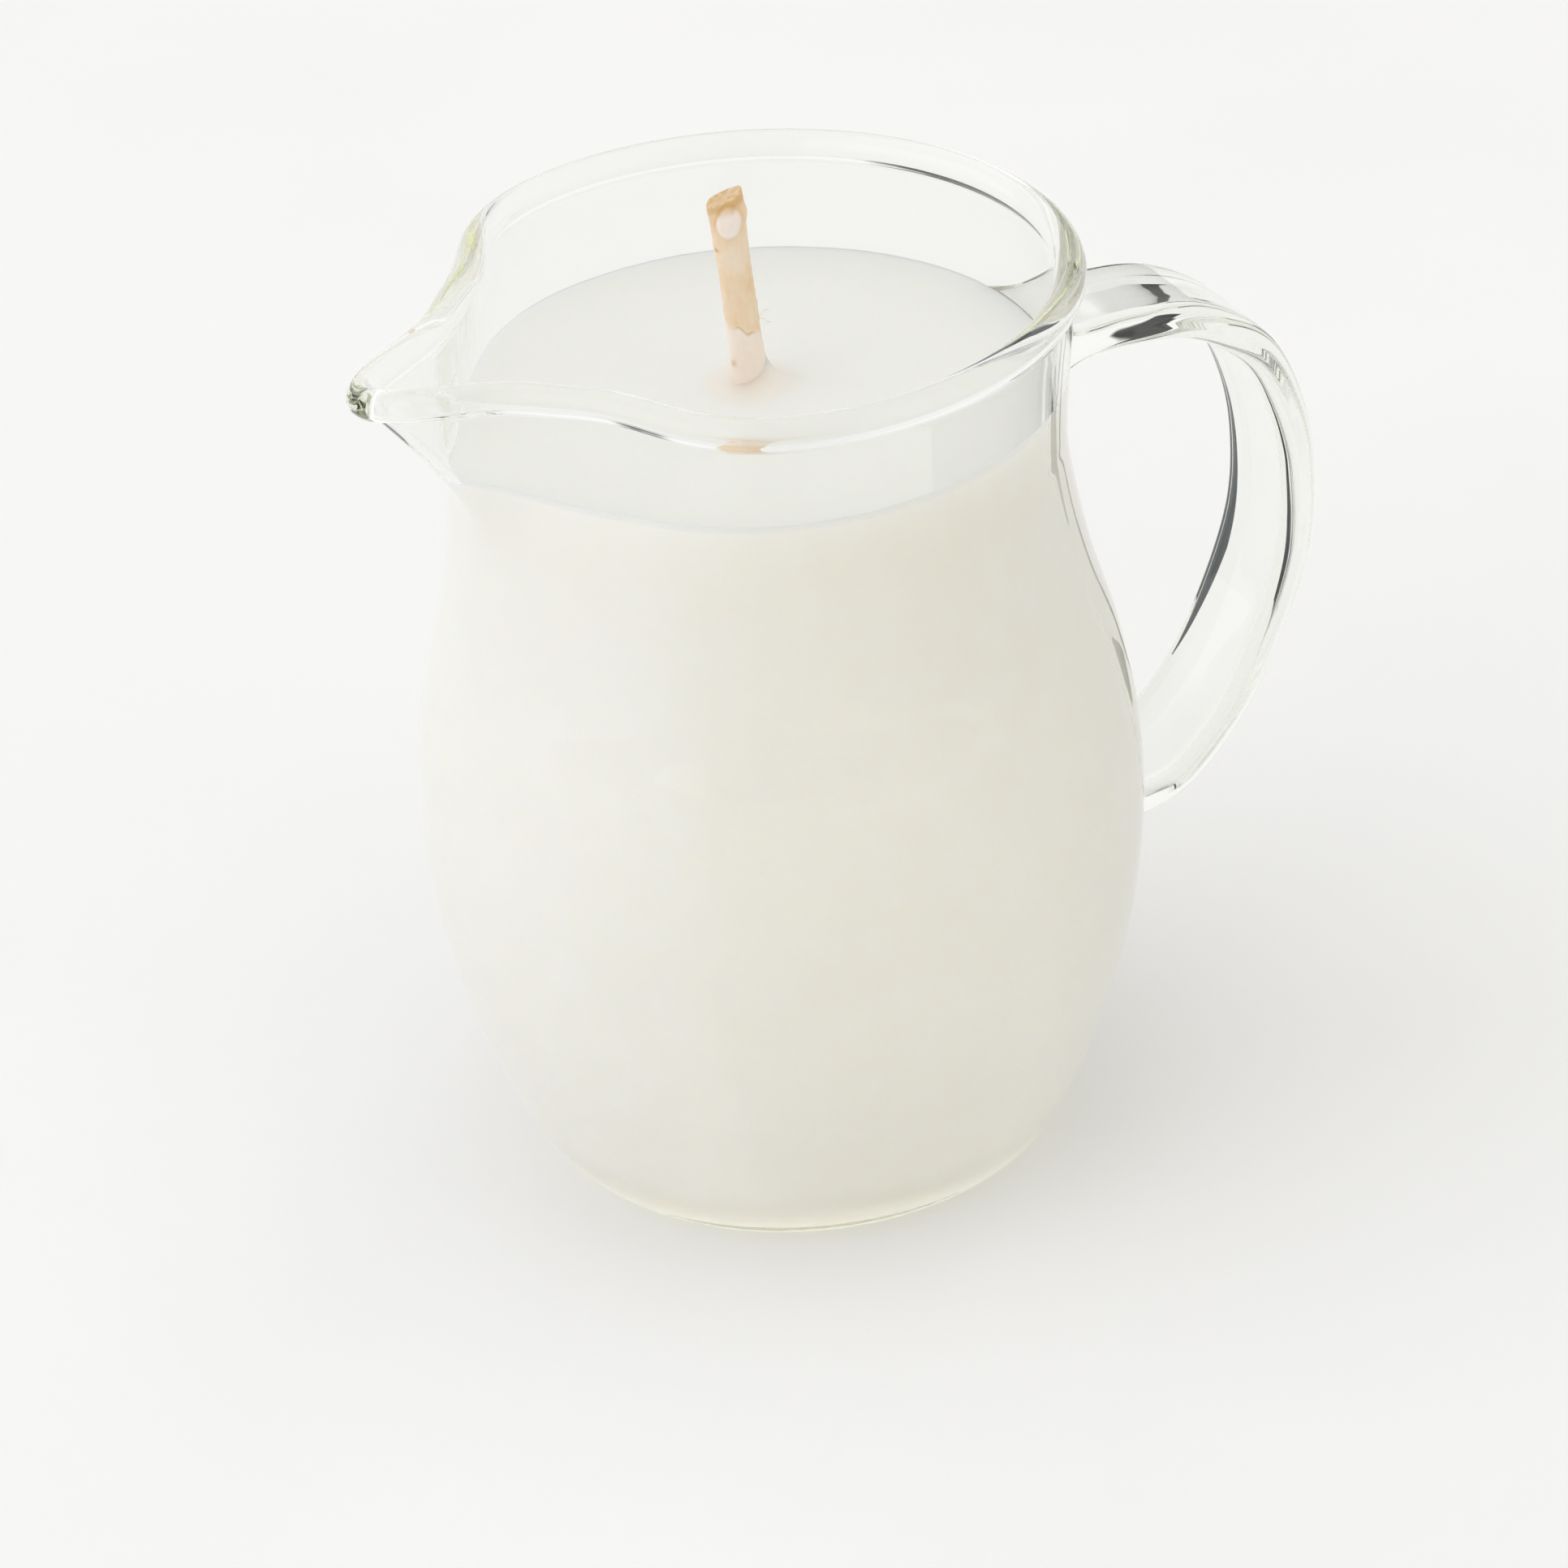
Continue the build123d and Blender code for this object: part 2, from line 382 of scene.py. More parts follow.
def make_jug():
    """Bowl, neck, lip and spout as one closed skin of glass, from the punt round to the inner floor."""
    rings = [round_ring(r, PUNT_RISE * (1 - (r / PUNT_R) ** 2)) for r in PUNT_RINGS]
    rings.append(round_ring(*FOOT_ROUND))
    rings += wall_rings(+1) + bead_rings() + wall_rings(-1)[::-1]
    rings += [round_ring(r, FLOOR_THICK) for r in FLOOR_RINGS]
    return closed_mesh("jug_glass", rings, (0, 0, PUNT_RISE), (0, 0, FLOOR_THICK))


# ---------------------------------------------------------------- handle

def strap_section(width, thick, edge):
    """Rounded rectangle as (across, out) pairs, with extra points along its two broad faces."""
    flat_half, edge_half = width / 2 - edge, thick / 2 - edge
    pairs = []
    for side_x, side_y, first_deg in ((1, 1, 0), (-1, 1, 90), (-1, -1, 180), (1, -1, 270)):
        for k in range(CORNER_STEPS):
            a = radians(first_deg + 90.0 * k / (CORNER_STEPS - 1))
            pairs.append((side_x * flat_half + edge * cos(a), side_y * edge_half + edge * sin(a)))
        if side_x == side_y:
            for k in range(1, FLAT_STEPS):
                pairs.append((side_x * flat_half * (1 - 2 * k / FLAT_STEPS), side_y * thick / 2))
    return pairs


def make_handle():
    """Solid glass strap, swept along its centre line from the neck weld to the bowl weld."""
    line = smooth_curve(GRIP_LINE, GRIP_STEPS)
    lengths = [0.0]
    for a, b in zip(line, line[1:]):
        lengths.append(lengths[-1] + hypot(b[0] - a[0], b[1] - a[1]))
    rings = []
    for i, (x, z) in enumerate(line):
        before, after = line[max(0, i - 1)], line[min(len(line) - 1, i + 1)]
        tx, tz = after[0] - before[0], after[1] - before[1]
        size = hypot(tx, tz)
        nx, nz = -tz / size, tx / size
        at_neck = bell(lengths[i], NECK_WELD_RUN)
        at_bowl = bell(lengths[-1] - lengths[i], BOWL_WELD_RUN)
        wider, thicker = (1 + neck * at_neck + bowl * at_bowl
                          for neck, bowl in zip(NECK_WELD_SWELL, BOWL_WELD_SWELL))
        section = strap_section(STRAP_WIDTH * wider, STRAP_THICK * thicker, STRAP_EDGE_R)
        rings.append([(x + nx * out, across, z + nz * out) for across, out in section])
    return closed_mesh("jug_handle", rings, (line[0][0], 0.0, line[0][1]), (line[-1][0], 0.0, line[-1][1]))


# ---------------------------------------------------------------- wax

def wick_axis(z):
    """Centre of the wick at height z."""
    over = max(0.0, z - WICK_BEND_Z)
    soft = over * over / (over + WICK_BEND_SOFTNESS)
    return Vector((0, 0, z)) + LEAN * (soft * sin(radians(WICK_LEAN_DEG)))


def wax_top(x, y, edge_gap):
    """Height of the set wax: nearly level, a low climb at the glass, a fillet and a cone at the wick."""
    axis = wick_axis(WAX_TOP_Z)
    away = Vector((x - axis.x, y - axis.y, 0))
    gap = max(0.0, away.length - WICK_DEPTH / 2)
    lee = away.normalized().dot((SIDE * CONE_TURN - LEAN).normalized()) if away.length > 0.1 else 0.0
    fillets = fade(gap, *WICK_FILLET) + max(0.0, lee) ** 3 * fade(gap, *WICK_CONE)
    fillets += fade(edge_gap, *GLASS_CLIMB)
    waves = sum(height * noise.noise(Vector((x * often, y * often, seed)))
                for height, often, seed in WAX_WAVES)
    return WAX_TOP_Z - WAX_LEVEL_DROP + fillets + waves


def swell(ring, by):
    """Move a ring out from the axis."""
    moved = []
    for x, y, z in ring:
        r = hypot(x, y)
        moved.append((x * (r + by) / r, y * (r + by) / r, z))
    return moved


def make_wax():
    """The poured wax: the inside of the glass up to its level, closed by its wavy top."""
    floor_z = FLOOR_THICK - WAX_OVERLAP
    rings = [round_ring(r, floor_z) for r in reversed(FLOOR_RINGS)]
    for ring in wall_rings(-1):
        if ring[0][2] > WAX_TOP_Z - WAX_EDGE_DROP:
            break
        rings.append(swell(ring, WAX_OVERLAP))
    top_edge = swell(offset_ring(WAX_TOP_Z, -WALL / 2), WAX_OVERLAP)
    for share in [1.0] + WAX_TOP_SHARES:
        rings.append([(x * share, y * share, wax_top(x * share, y * share, hypot(x, y) * (1 - share)))
                      for x, y, _ in top_edge])
    return closed_mesh("wax", rings, (0, 0, floor_z), (0, 0, wax_top(0, 0, NECK_R)))


# ---------------------------------------------------------------- wick

def angle_gap(a, b):
    d = (a - b) % (2 * pi)
    return min(d, 2 * pi - d)


def mark_gap(turn, over, mark_turn, mark_over, stretch=1.0):
    """Distance over the wick's surface from the middle of a mark, which may be stretched upward."""
    return hypot(angle_gap(turn, mark_turn) * MEAN_R, (over - mark_over) / stretch)


def crack_line(turn):
    """Height over the wax of the crack in the wick's wax coat, where the coat below stands proud."""
    across = cos(turn)
    return CRACK_OVER + CRACK_TILT * across + CRACK_JAG * sin(CRACK_JAGS * across)


def blob_share(turn, over):
    """How far inside the wax blob on the front of the wick a point is: 1 in its middle, 0 at its edge."""
    aside, up = angle_gap(turn, BLOB_TURN) * MEAN_R, over - (TIP_OVER - BLOB_DROP)
    return 1 - hypot(aside / BLOB_SIZE[0], up / BLOB_SIZE[1])


def wick_radius(turn, z):
    """Distance from the wick's axis to its waxed surface at an angle from the lean direction."""
    c, s = cos(turn), sin(turn)
    over = z - WAX_TOP_Z
    broad, deep = abs(c / (WICK_WIDTH / 2)), abs(s / (WICK_DEPTH / 2))
    r = (broad ** WICK_SQUARENESS + deep ** WICK_SQUARENESS) ** (-1 / WICK_SQUARENESS)
    r += BRAID_HEIGHT * sin(z * BRAID_PITCH + 2.0 * turn) * sin(z * BRAID_PITCH - 2.0 * turn)
    r += LUMP_HEIGHT * noise.noise(Vector((1.1 * c, 1.1 * s, z * 0.22)))
    r += GRAIN_HEIGHT * noise.noise(Vector((3.5 * c, 3.5 * s, z * 1.3)))
    r += TIP_SWELL[0] * bell(over - TIP_OVER, TIP_SWELL[1]) + FOOT_SWELL[0] * bell(over, FOOT_SWELL[1])
    r += COAT_STEP * smoothstep(0.12, -0.12, over - crack_line(turn)) * max(0.0, s)
    r += BLOB_HEIGHT * smoothstep(0.0, 0.35, blob_share(turn, over))
    r += KNOB_HEIGHT * bell(mark_gap(turn, over, radians(KNOB_DEG), TIP_OVER - KNOB_DROP), KNOB_R)
    return r


def wick_marks(turn, over):
    """Shares of tan stain, wax blob and pale coat at a point of the wick, kept on its mesh."""
    front = max(0.0, sin(turn))
    ragged = over - 0.6 * noise.noise(Vector((3 * cos(turn), 3, over)))
    tip = smoothstep(TIP_OVER - 1.5, TIP_OVER - 0.2, ragged)
    crack = bell(over - crack_line(turn) - 0.05, CRACK_WIDTH)
    crack *= smoothstep(0.75, 0.95, front - 0.12 * cos(turn))
    speck = bell(mark_gap(turn, over, radians(SPECK_DEG), SPECK_OVER), SPECK_R)
    spot = bell(mark_gap(turn, over, radians(SPOT_DEG), SPOT_OVER, SPOT_STRETCH), SPOT_R)
    inside = blob_share(turn, over)
    rim = bell(inside, 0.12) * smoothstep(-1.5, 1.0, over - (TIP_OVER - BLOB_DROP))
    stain = min(1.0, 0.75 * crack + 0.75 * tip + 1.6 * speck + 0.6 * spot + 0.35 * rim)
    return stain, smoothstep(0.0, 0.3, inside), smoothstep(0.6, -0.3, over - crack_line(turn))


def wick_point(z, turn, r, rise=0.0):
    """A point r from the wick's axis at height z, lifted by rise."""
    return wick_axis(z) + LEAN * (cos(turn) * r) + SIDE * (sin(turn) * r) + UP * rise


def wick_side_ring(z):
    """Ring round the wick and its marks, slanting more and more toward the cut tip."""
    slant = CUT_SLOPE * smoothstep(WICK_TIP_Z - CUT_RUN, WICK_TIP_Z, z)
    ring, marks = [], []
    for k in range(WICK_STEPS):
        turn = 2 * pi * k / WICK_STEPS
        r = wick_radius(turn, z)
        ring.append(tuple(wick_point(z, turn, r, -slant * cos(turn) * r)))
        marks.append(wick_marks(turn, z - WAX_TOP_Z))
    return ring, marks


def wick_tip_ring(share, rise):
    """Ring on the cut tip at a share of its radius, and its marks: frayed cotton, darker where it stands."""
    ring, marks = [], []
    for k in range(WICK_STEPS):
        turn = 2 * pi * k / WICK_STEPS
        r = wick_radius(turn, WICK_TIP_Z) * share
        across = cos(turn) * r
        fray = FRAY_HEIGHT * noise.noise(Vector((across * 2.6, sin(turn) * r * 2.6, 1.7)))
        ring.append(tuple(wick_point(WICK_TIP_Z, turn, r, rise + fray - CUT_SLOPE * across)))
        marks.append((0.35 + 0.6 * smoothstep(-0.05, 0.1, fray), 0.0, 0.0))
    return ring, marks


def fibre_paths():
    """Two loose cotton hairs that stand off the wick's lee side."""
    z = WAX_TOP_Z + FIBRE_OVER
    start = wick_point(z, FIBRE_TURN, wick_radius(FIBRE_TURN, z))
    out = SIDE * 0.25 - LEAN
    steps = (((-0.2, 0.0), (0.35, 0.25), (0.75, 0.75), (1.15, 0.85)),
             ((-0.2, -0.4), (0.5, -0.2), (0.9, -0.55), (1.3, -0.5)))
    return [[start + out * away + UP * rise for away, rise in path] for path in steps]


def add_fibre(path, points, faces, marks):
    """Add a thin closed tube along a path to the lists of a mesh."""
    rings = []
    for x, y, z in smooth_curve([tuple(p) for p in path], FIBRE_STEPS):
        ring = []
        for k in range(FIBRE_STEPS):
            a = 2 * pi * k / FIBRE_STEPS
            across = cos(a) * FIBRE_R
            ring.append(len(points))
            points.append((x + SIDE.x * across, y + SIDE.y * across, z + sin(a) * FIBRE_R))
        rings.append(ring)
    points += [path[0], path[-1]]
    marks += [FIBRE_MARK] * (len(rings) * FIBRE_STEPS + 2)
    faces += skin(rings, len(points) - 2, len(points) - 1)


def make_wick():
    """Braided, waxed wick. Angle 0 is the lean direction and pi / 2 the broad front."""
    buried = WICK_BEND_Z - WICK_FOOT_Z
    levels = [WICK_FOOT_Z + buried * k / BURIED_LEVELS for k in range(BURIED_LEVELS)]
    levels += [WICK_BEND_Z + WICK_TIP_RUN * k / OPEN_LEVELS for k in range(OPEN_LEVELS + 1)]
    points, rings, marks = [], [], []
    for ring, ring_marks in ([wick_side_ring(z) for z in levels]
                             + [wick_tip_ring(share, rise) for share, rise in TIP_RINGS]):
        rings.append(list(range(len(points), len(points) + WICK_STEPS)))
        points += ring
        marks += ring_marks
    points += [(0.0, 0.0, WICK_FOOT_Z), tuple(wick_axis(WICK_TIP_Z) + UP * 0.1)]
    marks += [(0.0, 0.0, 1.0), (0.5, 0.0, 0.0)]
    faces = skin(rings, len(points) - 2, len(points) - 1)
    for path in fibre_paths():
        add_fibre(path, points, faces, marks)
    obj = add_mesh("wick_braid", points, faces)
    layer = obj.data.color_attributes.new("marks", "FLOAT_COLOR", "POINT")
    for value, item in zip(marks, layer.data):
        item.color = (*value, 1.0)
    face_out(obj)
    return obj


# ---------------------------------------------------------------- node trees

class Nodes:
    """A node tree, with short calls for the nodes that the materials and the world share."""

    def __init__(self, tree):
        self.tree = tree

    def new(self, kind, **values):
        node = self.tree.nodes.new(kind)
        for key, value in values.items():
            setattr(node, key, value)
        return node

    def plug(self, socket, value):
        """Link an output to a socket, or set the socket to a number or a colour."""
        if isinstance(value, (int, float)):
            socket.default_value = value
        elif isinstance(value, tuple):
            socket.default_value = (*value, 1) if len(value) == 3 else value
        else:
            self.tree.links.new(value, socket)

    def math(self, operation, a, b=0.0, clamp=False):
        node = self.new("ShaderNodeMath", operation=operation, use_clamp=clamp)
        self.plug(node.inputs[0], a)
        self.plug(node.inputs[1], b)
        return node.outputs["Value"]

    def smooth_range(self, source, start, end, gain=1.0):
        """0 where the source is at start, gain where it is at end, eased between them."""
        node = self.new("ShaderNodeMapRange", interpolation_type="SMOOTHSTEP")
        node.inputs["From Min"].default_value = start
        node.inputs["From Max"].default_value = end
        node.inputs["To Max"].default_value = gain
        self.plug(node.inputs["Value"], source)
        return node.outputs["Result"]


class Material(Nodes):
    """A material built round its Principled shader."""

    def __init__(self, name):
        self.material = bpy.data.materials.new(name)
        self.material.use_nodes = True
        super().__init__(self.material.node_tree)
        self.shader = self.tree.nodes["Principled BSDF"]
        self.place = self.new("ShaderNodeTexCoord").outputs["Object"]

    def set(self, **values):
        for key, value in values.items():
            self.shader.inputs[key.replace("_", " ")].default_value = value

    def feed(self, name, source):
        self.plug(self.shader.inputs[name], source)

    def noise(self, scale, detail=3.0, roughness=0.5, stretch=None):
        tex = self.new("ShaderNodeTexNoise")
        tex.inputs["Scale"].default_value = scale
        tex.inputs["Detail"].default_value = detail
        tex.inputs["Roughness"].default_value = roughness
        source = self.place
        if stretch:
            mapping = self.new("ShaderNodeMapping")
            mapping.inputs["Scale"].default_value = stretch
            self.plug(mapping.inputs["Vector"], self.place)
            source = mapping.outputs["Vector"]
        self.plug(tex.inputs["Vector"], source)
        return tex.outputs["Fac"]

    def ramp(self, source, stops):
        """Colours, or greys given as single numbers, at positions along a source."""
        node = self.new("ShaderNodeValToRGB")
        band = node.color_ramp
        while len(band.elements) < len(stops):
            band.elements.new(0.5)
        for element, (at, colour) in zip(band.elements, stops):
            element.position = at
            element.color = (*(colour if isinstance(colour, tuple) else (colour,) * 3), 1)
        self.plug(node.inputs["Fac"], source)
        return node.outputs["Color"]

    def mix(self, factor, a, b):
        node = self.new("ShaderNodeMix", data_type="RGBA")
        for socket, value in zip((node.inputs["Factor"], node.inputs[6], node.inputs[7]), (factor, a, b)):
            self.plug(socket, value)
        return node.outputs[2]

    def bump(self, height, distance, strength, under=None):
        node = self.new("ShaderNodeBump")
        node.inputs["Distance"].default_value = distance
        node.inputs["Strength"].default_value = strength
        self.plug(node.inputs["Height"], height)
        if under is not None:
            self.plug(node.inputs["Normal"], under)
        return node.outputs["Normal"]

    def spot(self, centre, size, gain):
        """gain in the middle of an ellipsoid about centre (mm), at most 1, falling to 0 at its edge."""
        mapping = self.new("ShaderNodeMapping", vector_type="TEXTURE")
        mapping.inputs["Location"].default_value = [c * MM for c in centre]
        mapping.inputs["Scale"].default_value = [s * MM for s in size]
        self.plug(mapping.inputs["Vector"], self.place)
        ball = self.new("ShaderNodeTexGradient", gradient_type="SPHERICAL")
        self.plug(ball.inputs["Vector"], mapping.outputs["Vector"])
        return self.math("MULTIPLY", ball.outputs["Fac"], gain, clamp=True)


# ---------------------------------------------------------------- materials

def glass_material():
    """Clear borosilicate with faint smudges, draw streaks and a green depth at its edges."""
    m = Material("clear_borosilicate")
    m.set(Transmission_Weight=1.0, IOR=1.473, Metallic=0.0)
    m.feed("Roughness", m.ramp(m.noise(70.0, 4.0, 0.6), [(0.35, 0.0), (0.8, 0.035)]))
    tint = m.ramp(m.noise(25.0, 2.0), [(0.3, (0.972, 0.978, 0.966)), (0.7, (0.982, 0.985, 0.978))])
    m.feed("Base Color", tint)
    waves = m.bump(m.noise(38.0, 2.0, 0.4, (1.0, 1.0, 0.45)), 0.0009, 0.35)
    m.feed("Normal", m.bump(m.noise(160.0, 2.0, 0.5, (1.0, 1.0, 0.12)), 0.00006, 0.5, waves))
    inside = m.new("ShaderNodeVolumeAbsorption")
    inside.inputs["Color"].default_value = (0.93, 0.96, 0.82, 1)
    inside.inputs["Density"].default_value = 14.0
    m.plug(m.tree.nodes["Material Output"].inputs["Volume"], inside.outputs["Volume"])
    return m.material


def wax_material():
    """White wax, clouded and frosted, cooler on its open top and stained round the wick."""
    m = Material("poured_candle_wax")
    m.set(IOR=1.43, Subsurface_Weight=0.65, Subsurface_Scale=0.008)
    m.shader.inputs["Subsurface Radius"].default_value = (1.0, 0.85, 0.65)
    cloud = m.noise(28.0, 4.0, 0.55)
    body = m.ramp(cloud, [(0.25, (0.90, 0.875, 0.795)), (0.5, (0.915, 0.893, 0.82)),
                          (0.8, (0.925, 0.91, 0.845))])
    frost = m.ramp(m.noise(220.0, 3.0, 0.6), [(0.45, 0.0), (0.75, 0.5)])
    base = m.mix(frost, body, (0.925, 0.915, 0.87))
    height = m.new("ShaderNodeSeparateXYZ")
    m.plug(height.inputs[0], m.place)
    above = m.smooth_range(height.outputs["Z"], (WAX_TOP_Z - 0.9) * MM, (WAX_TOP_Z - 0.3) * MM)
    base = m.mix(above, base, (0.83, 0.833, 0.79))
    axis = wick_axis(WAX_TOP_Z)
    base = m.mix(m.spot((axis.x, axis.y, WAX_TOP_Z + 1.0), (6.0, 6.0, 4.0), 0.9), base, (0.84, 0.72, 0.60))
    base = m.mix(m.spot((axis.x, axis.y, WAX_TOP_Z + 1.2), (3.4, 3.4, 3.4), 2.2), base, (0.86, 0.77, 0.66))
    m.feed("Base Color", base)
    m.feed("Roughness", m.ramp(cloud, [(0.3, 0.42), (0.7, 0.55)]))
    dents = m.bump(m.noise(60.0, 3.0), 0.0004, 0.4)
    m.feed("Normal", m.bump(m.noise(900.0, 2.0), 0.00003, 0.5, dents))
    return m.material


def wick_material():
    """Cotton soaked in wax: tan patches under a pale coat and blob, with stains from the mesh's marks."""
    m = Material("waxed_cotton_wick")
    m.set(IOR=1.44, Roughness=0.5, Subsurface_Weight=0.25, Subsurface_Scale=0.0006)
    m.shader.inputs["Subsurface Radius"].default_value = (1.0, 0.7, 0.45)
    patches = m.noise(260.0, 4.0, 0.65, (1.0, 1.0, 0.6))
    base = m.ramp(patches, [(0.32, (0.70, 0.47, 0.26)), (0.46, (0.80, 0.61, 0.40)),
                            (0.60, (0.82, 0.67, 0.49)), (0.76, (0.84, 0.73, 0.60))])
    parts = m.new("ShaderNodeSeparateColor")
    m.plug(parts.inputs[0], m.new("ShaderNodeAttribute", attribute_name="marks").outputs["Color"])
    stain, blob, coat = parts.outputs
    base = m.mix(m.math("MULTIPLY", coat, 0.75), base, (0.87, 0.79, 0.71))
    base = m.mix(m.math("MULTIPLY", blob, 0.85), base, (0.86, 0.77, 0.71))
    m.feed("Base Color", m.mix(stain, base, (0.60, 0.38, 0.15)))
    lumps = m.bump(m.noise(420.0, 3.0), 0.0002, 0.6)
    m.feed("Normal", m.bump(m.noise(1400.0, 3.0, 0.6, (1.0, 1.0, 0.35)), 0.00006, 0.9, lumps))
    return m.material


def steel_material():
    m = Material("tinned_steel")
    m.set(Metallic=1.0)
    brushed = m.noise(900.0, 2.0, 0.6, (1.0, 0.06, 1.0))
    m.feed("Base Color", m.ramp(brushed, [(0.3, (0.60, 0.60, 0.59)), (0.7, (0.74, 0.74, 0.73))]))
    m.feed("Roughness", m.ramp(brushed, [(0.3, 0.24), (0.7, 0.38)]))
    m.feed("Normal", m.bump(brushed, 0.00001, 0.5))
    return m.material


def foam_material():
    m = Material("adhesive_foam")
    m.set(Roughness=0.85)
    cells = m.noise(1300.0, 3.0, 0.7)
    m.feed("Base Color", m.ramp(cells, [(0.35, (0.70, 0.69, 0.65)), (0.65, (0.86, 0.85, 0.81))]))
    m.feed("Normal", m.bump(cells, 0.00008, 0.8))
    return m.material


def floor_material():
    m = Material("pale_floor")
    m.set(Roughness=0.9)
    cloth = m.noise(14.0, 3.0)
    m.feed("Base Color", m.ramp(cloth, [(0.3, (0.915, 0.912, 0.90)), (0.7, (0.935, 0.932, 0.92))]))
    return m.material


def card_material():
    m = Material("black_card")
    m.set(Roughness=1.0)
    fibres = m.noise(60.0, 3.0)
    m.feed("Base Color", m.ramp(fibres, [(0.3, (0.012, 0.018, 0.022)), (0.7, (0.03, 0.04, 0.045))]))
    return m.material


def dress(obj, material):
    obj.data.materials.clear()
    obj.data.materials.append(material)


# ---------------------------------------------------------------- studio

def make_floor():
    """Round pale floor just under the foot of the jug."""
    points, rings = [], []
    for r in STUDIO_FLOOR_RINGS:
        rings.append(list(range(len(points), len(points) + FLOOR_STEPS)))
        for k in range(FLOOR_STEPS):
            a = 2 * pi * k / FLOOR_STEPS
            points.append((r * cos(a), r * sin(a), -FLOOR_GAP))
    points.append((0, 0, -FLOOR_GAP))
    obj = add_mesh("floor", points, skin(rings, len(points) - 1))
    dress(obj, floor_material())


def make_flag():
    """Low dark card beside the jug, which shows only where the glass bends the view onto it."""
    corners = [(x, y, CARD_Z) for x, y in CARD_CORNERS]
    obj = add_mesh("dark_flag", corners, [tuple(range(len(corners)))], smooth=False)
    dress(obj, card_material())
    obj.visible_camera = False
    obj.visible_diffuse = False
    obj.visible_glossy = False
    obj.visible_shadow = False


def area_light(name, place, aim, size, power, colour):
    """Soft lamp that lights the wax and the floor but is not seen, mirrored or bent into view."""
    data = bpy.data.lights.new(name, "AREA")
    data.shape = "RECTANGLE"
    data.size, data.size_y = size
    data.energy = power
    data.color = colour
    obj = bpy.data.objects.new(name, data)
    obj.location = place
    obj.rotation_euler = (Vector(aim) - Vector(place)).to_track_quat("-Z", "Y").to_euler()
    obj.visible_camera = False
    obj.visible_glossy = False
    obj.visible_transmission = False
    bpy.context.scene.collection.objects.link(obj)


def patch_gain(nodes, direction, azimuth, elevation, inner, outer, gain):
    """gain within inner degrees of a direction, falling to 0 at outer degrees."""
    dot = nodes.new("ShaderNodeVectorMath", operation="DOT_PRODUCT")
    a, e = radians(azimuth), radians(elevation)
    dot.inputs[1].default_value = (cos(e) * cos(a), cos(e) * sin(a), sin(e))
    nodes.plug(dot.inputs[0], direction)
    return nodes.smooth_range(dot.outputs["Value"], cos(radians(outer)), cos(radians(inner)), gain)


def box_gain(nodes, direction, azimuth, half_width, low, high, edge, gain):
    """gain inside a box of directions, with edges edge degrees wide."""
    parts = nodes.new("ShaderNodeSeparateXYZ")
    nodes.plug(parts.inputs[0], direction)
    x, y, z = parts.outputs
    c, s = cos(radians(azimuth)), sin(radians(azimuth))
    along = nodes.math("ADD", nodes.math("MULTIPLY", x, c), nodes.math("MULTIPLY", y, s))
    across = nodes.math("SUBTRACT", nodes.math("MULTIPLY", y, c), nodes.math("MULTIPLY", x, s))
    swing = nodes.math("ABSOLUTE", nodes.math("ARCTAN2", across, along))
    rise = nodes.math("ARCSINE", z)
    share, half_edge = gain, edge / 2
    for source, start, end in ((swing, half_width + half_edge, half_width - half_edge),
                               (rise, low - half_edge, low + half_edge),
                               (rise, high + half_edge, high - half_edge)):
        share = nodes.math("MULTIPLY", nodes.smooth_range(source, radians(start), radians(end)), share)
    return share


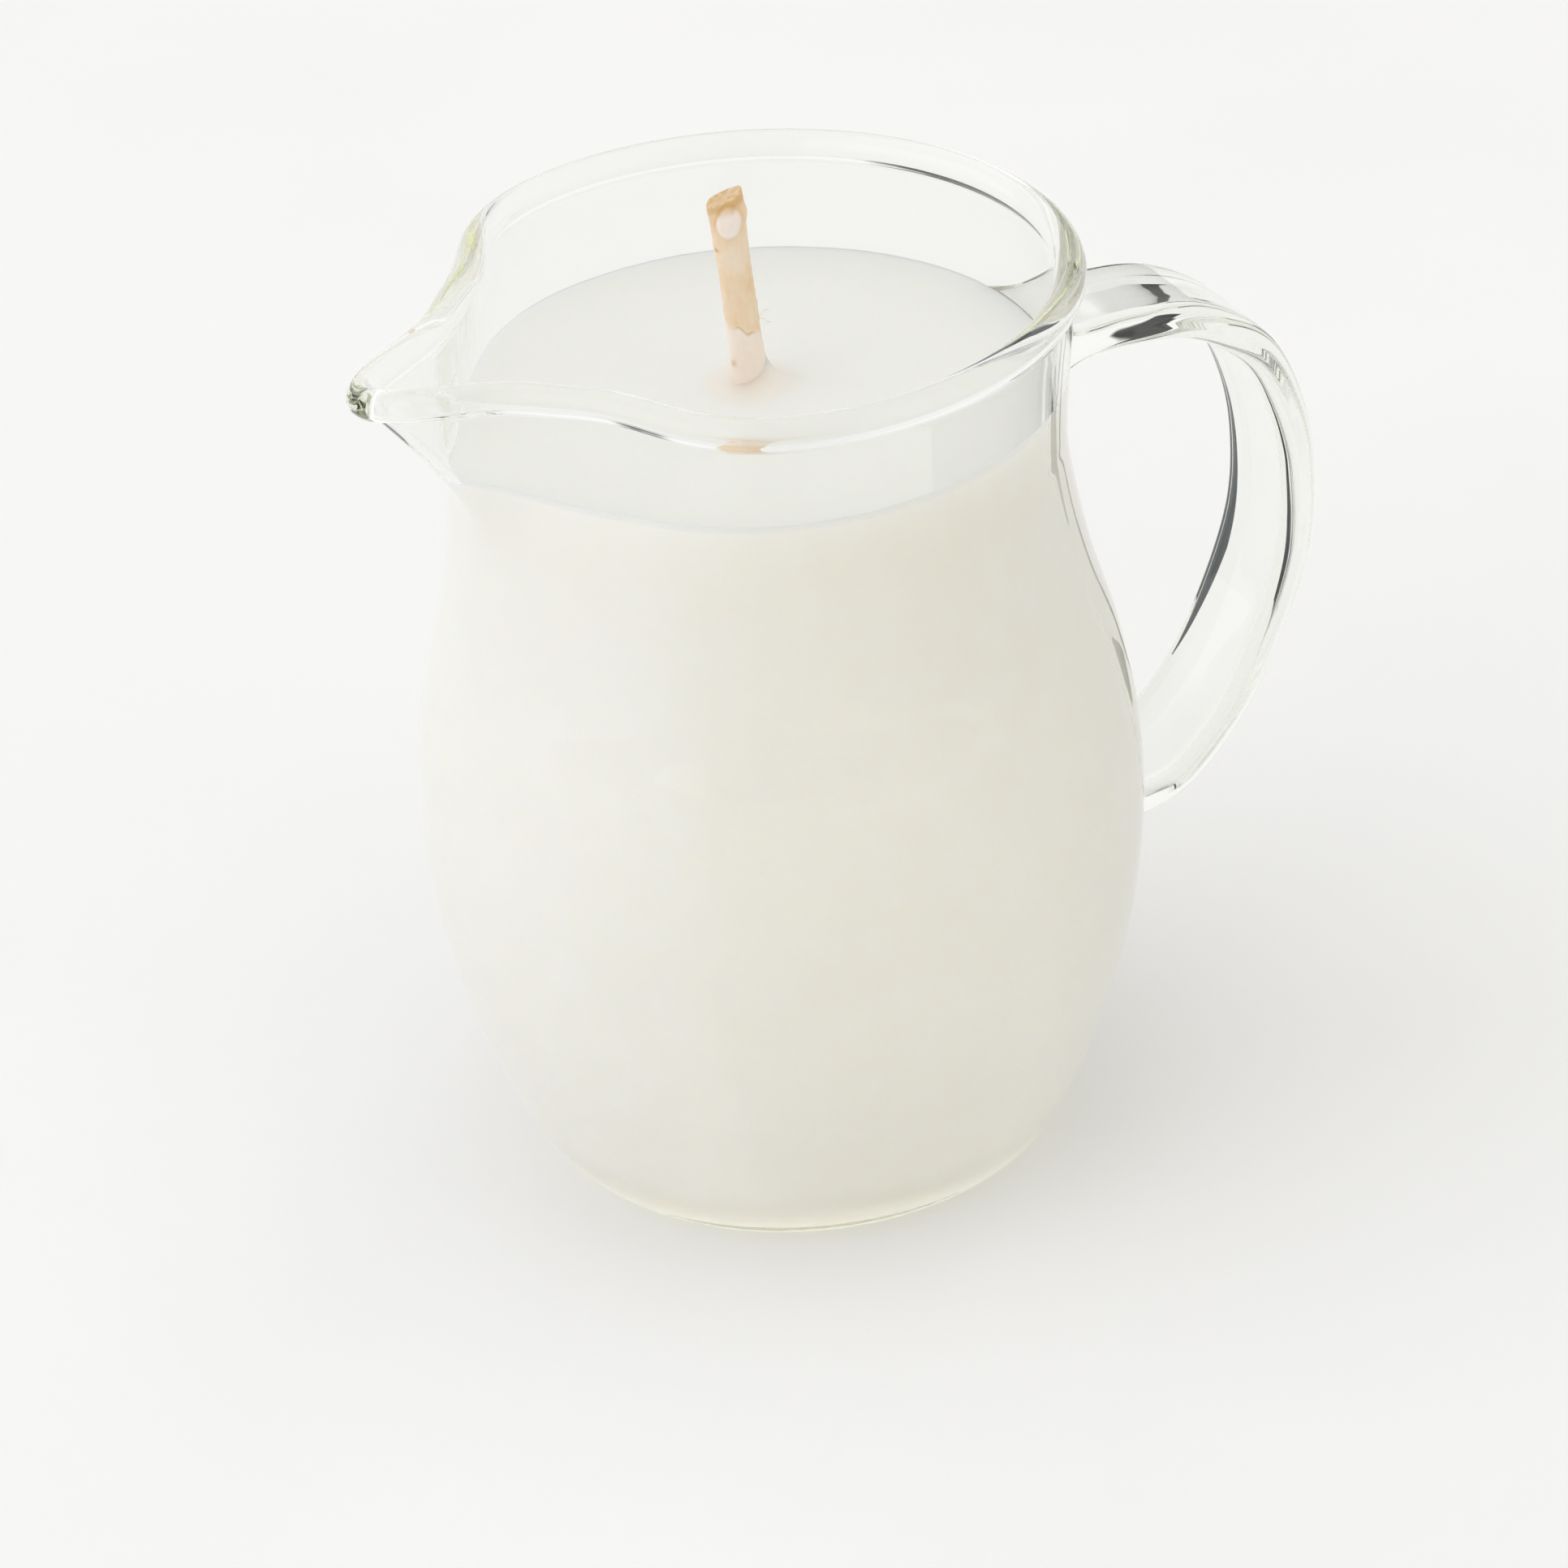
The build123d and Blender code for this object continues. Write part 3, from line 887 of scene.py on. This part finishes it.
def make_world():
    """Soft white tent, dimmer behind the camera, with the dark shapes that clear glass mirrors.

    The camera itself sees only its plain level."""
    world = bpy.data.worlds.new("studio")
    bpy.context.scene.world = world
    world.use_nodes = True
    nodes = Nodes(world.node_tree)
    direction = nodes.new("ShaderNodeTexCoord").outputs["Generated"]
    level = nodes.math("ADD", WORLD_LEVEL, patch_gain(nodes, direction, *WORLD_PATCH))
    for box in WORLD_BOXES:
        level = nodes.math("ADD", level, box_gain(nodes, direction, *box))
    level = nodes.math("MAXIMUM", level, WORLD_DARKEST)
    seen = nodes.new("ShaderNodeLightPath").outputs["Is Camera Ray"]
    level = nodes.math("ADD", nodes.math("MULTIPLY", level, nodes.math("SUBTRACT", 1.0, seen)),
                       nodes.math("MULTIPLY", seen, WORLD_LEVEL))
    background = world.node_tree.nodes["Background"]
    nodes.plug(background.inputs["Strength"], level)
    nodes.plug(background.inputs["Color"], WORLD_COLOUR)


def make_camera():
    """Looks down at the jug from the front left, as the photograph does."""
    data = bpy.data.cameras.new("camera")
    data.sensor_width = 36.0
    data.lens = CAMERA_LENS
    data.clip_start = 0.02
    data.clip_end = 50.0
    obj = bpy.data.objects.new("camera", data)
    azimuth, elevation, roll = (radians(angle) for angle in CAMERA_VIEW_DEG)
    turn = (Matrix.Rotation(azimuth - pi / 2, 4, "Z") @ Matrix.Rotation(pi / 2 + elevation, 4, "X")
            @ Matrix.Rotation(roll, 4, "Z"))
    obj.matrix_world = Matrix.Translation(Vector(CAMERA_PLACE) * MM) @ turn
    bpy.context.scene.collection.objects.link(obj)
    bpy.context.scene.camera = obj


# ---------------------------------------------------------------- assembly

def make_pieces():
    glass = glass_material()
    jug = make_jug()
    dress(jug, glass)
    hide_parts("jug_bowl", "jug_mouth")
    handle = make_handle()
    dress(handle, glass)
    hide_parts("handle")
    wax = make_wax()
    dress(wax, wax_material())
    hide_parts("wax_fill")
    wick = make_wick()
    dress(wick, wick_material())
    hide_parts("wick")
    for piece in (jug, handle, wax, wick):
        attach(piece, "root")
    # Refracting glass would block the lamps' light on its way to the wax
    for piece in (jug, handle):
        piece.visible_shadow = False
    for node, material in (("wick_sustainer", steel_material()), ("adhesive_dot", foam_material())):
        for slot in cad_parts[node].material_slots:
            slot.material = material


def make_studio():
    make_floor()
    make_flag()
    make_world()
    for lamp in LAMPS:
        area_light(*lamp)
    make_camera()
    scene = bpy.context.scene
    scene.view_settings.view_transform = "Standard"
    scene.cycles.max_bounces = 32
    scene.cycles.glossy_bounces = 24
    scene.cycles.diffuse_bounces = 12
    scene.cycles.transmission_bounces = 24


make_pieces()
make_studio()
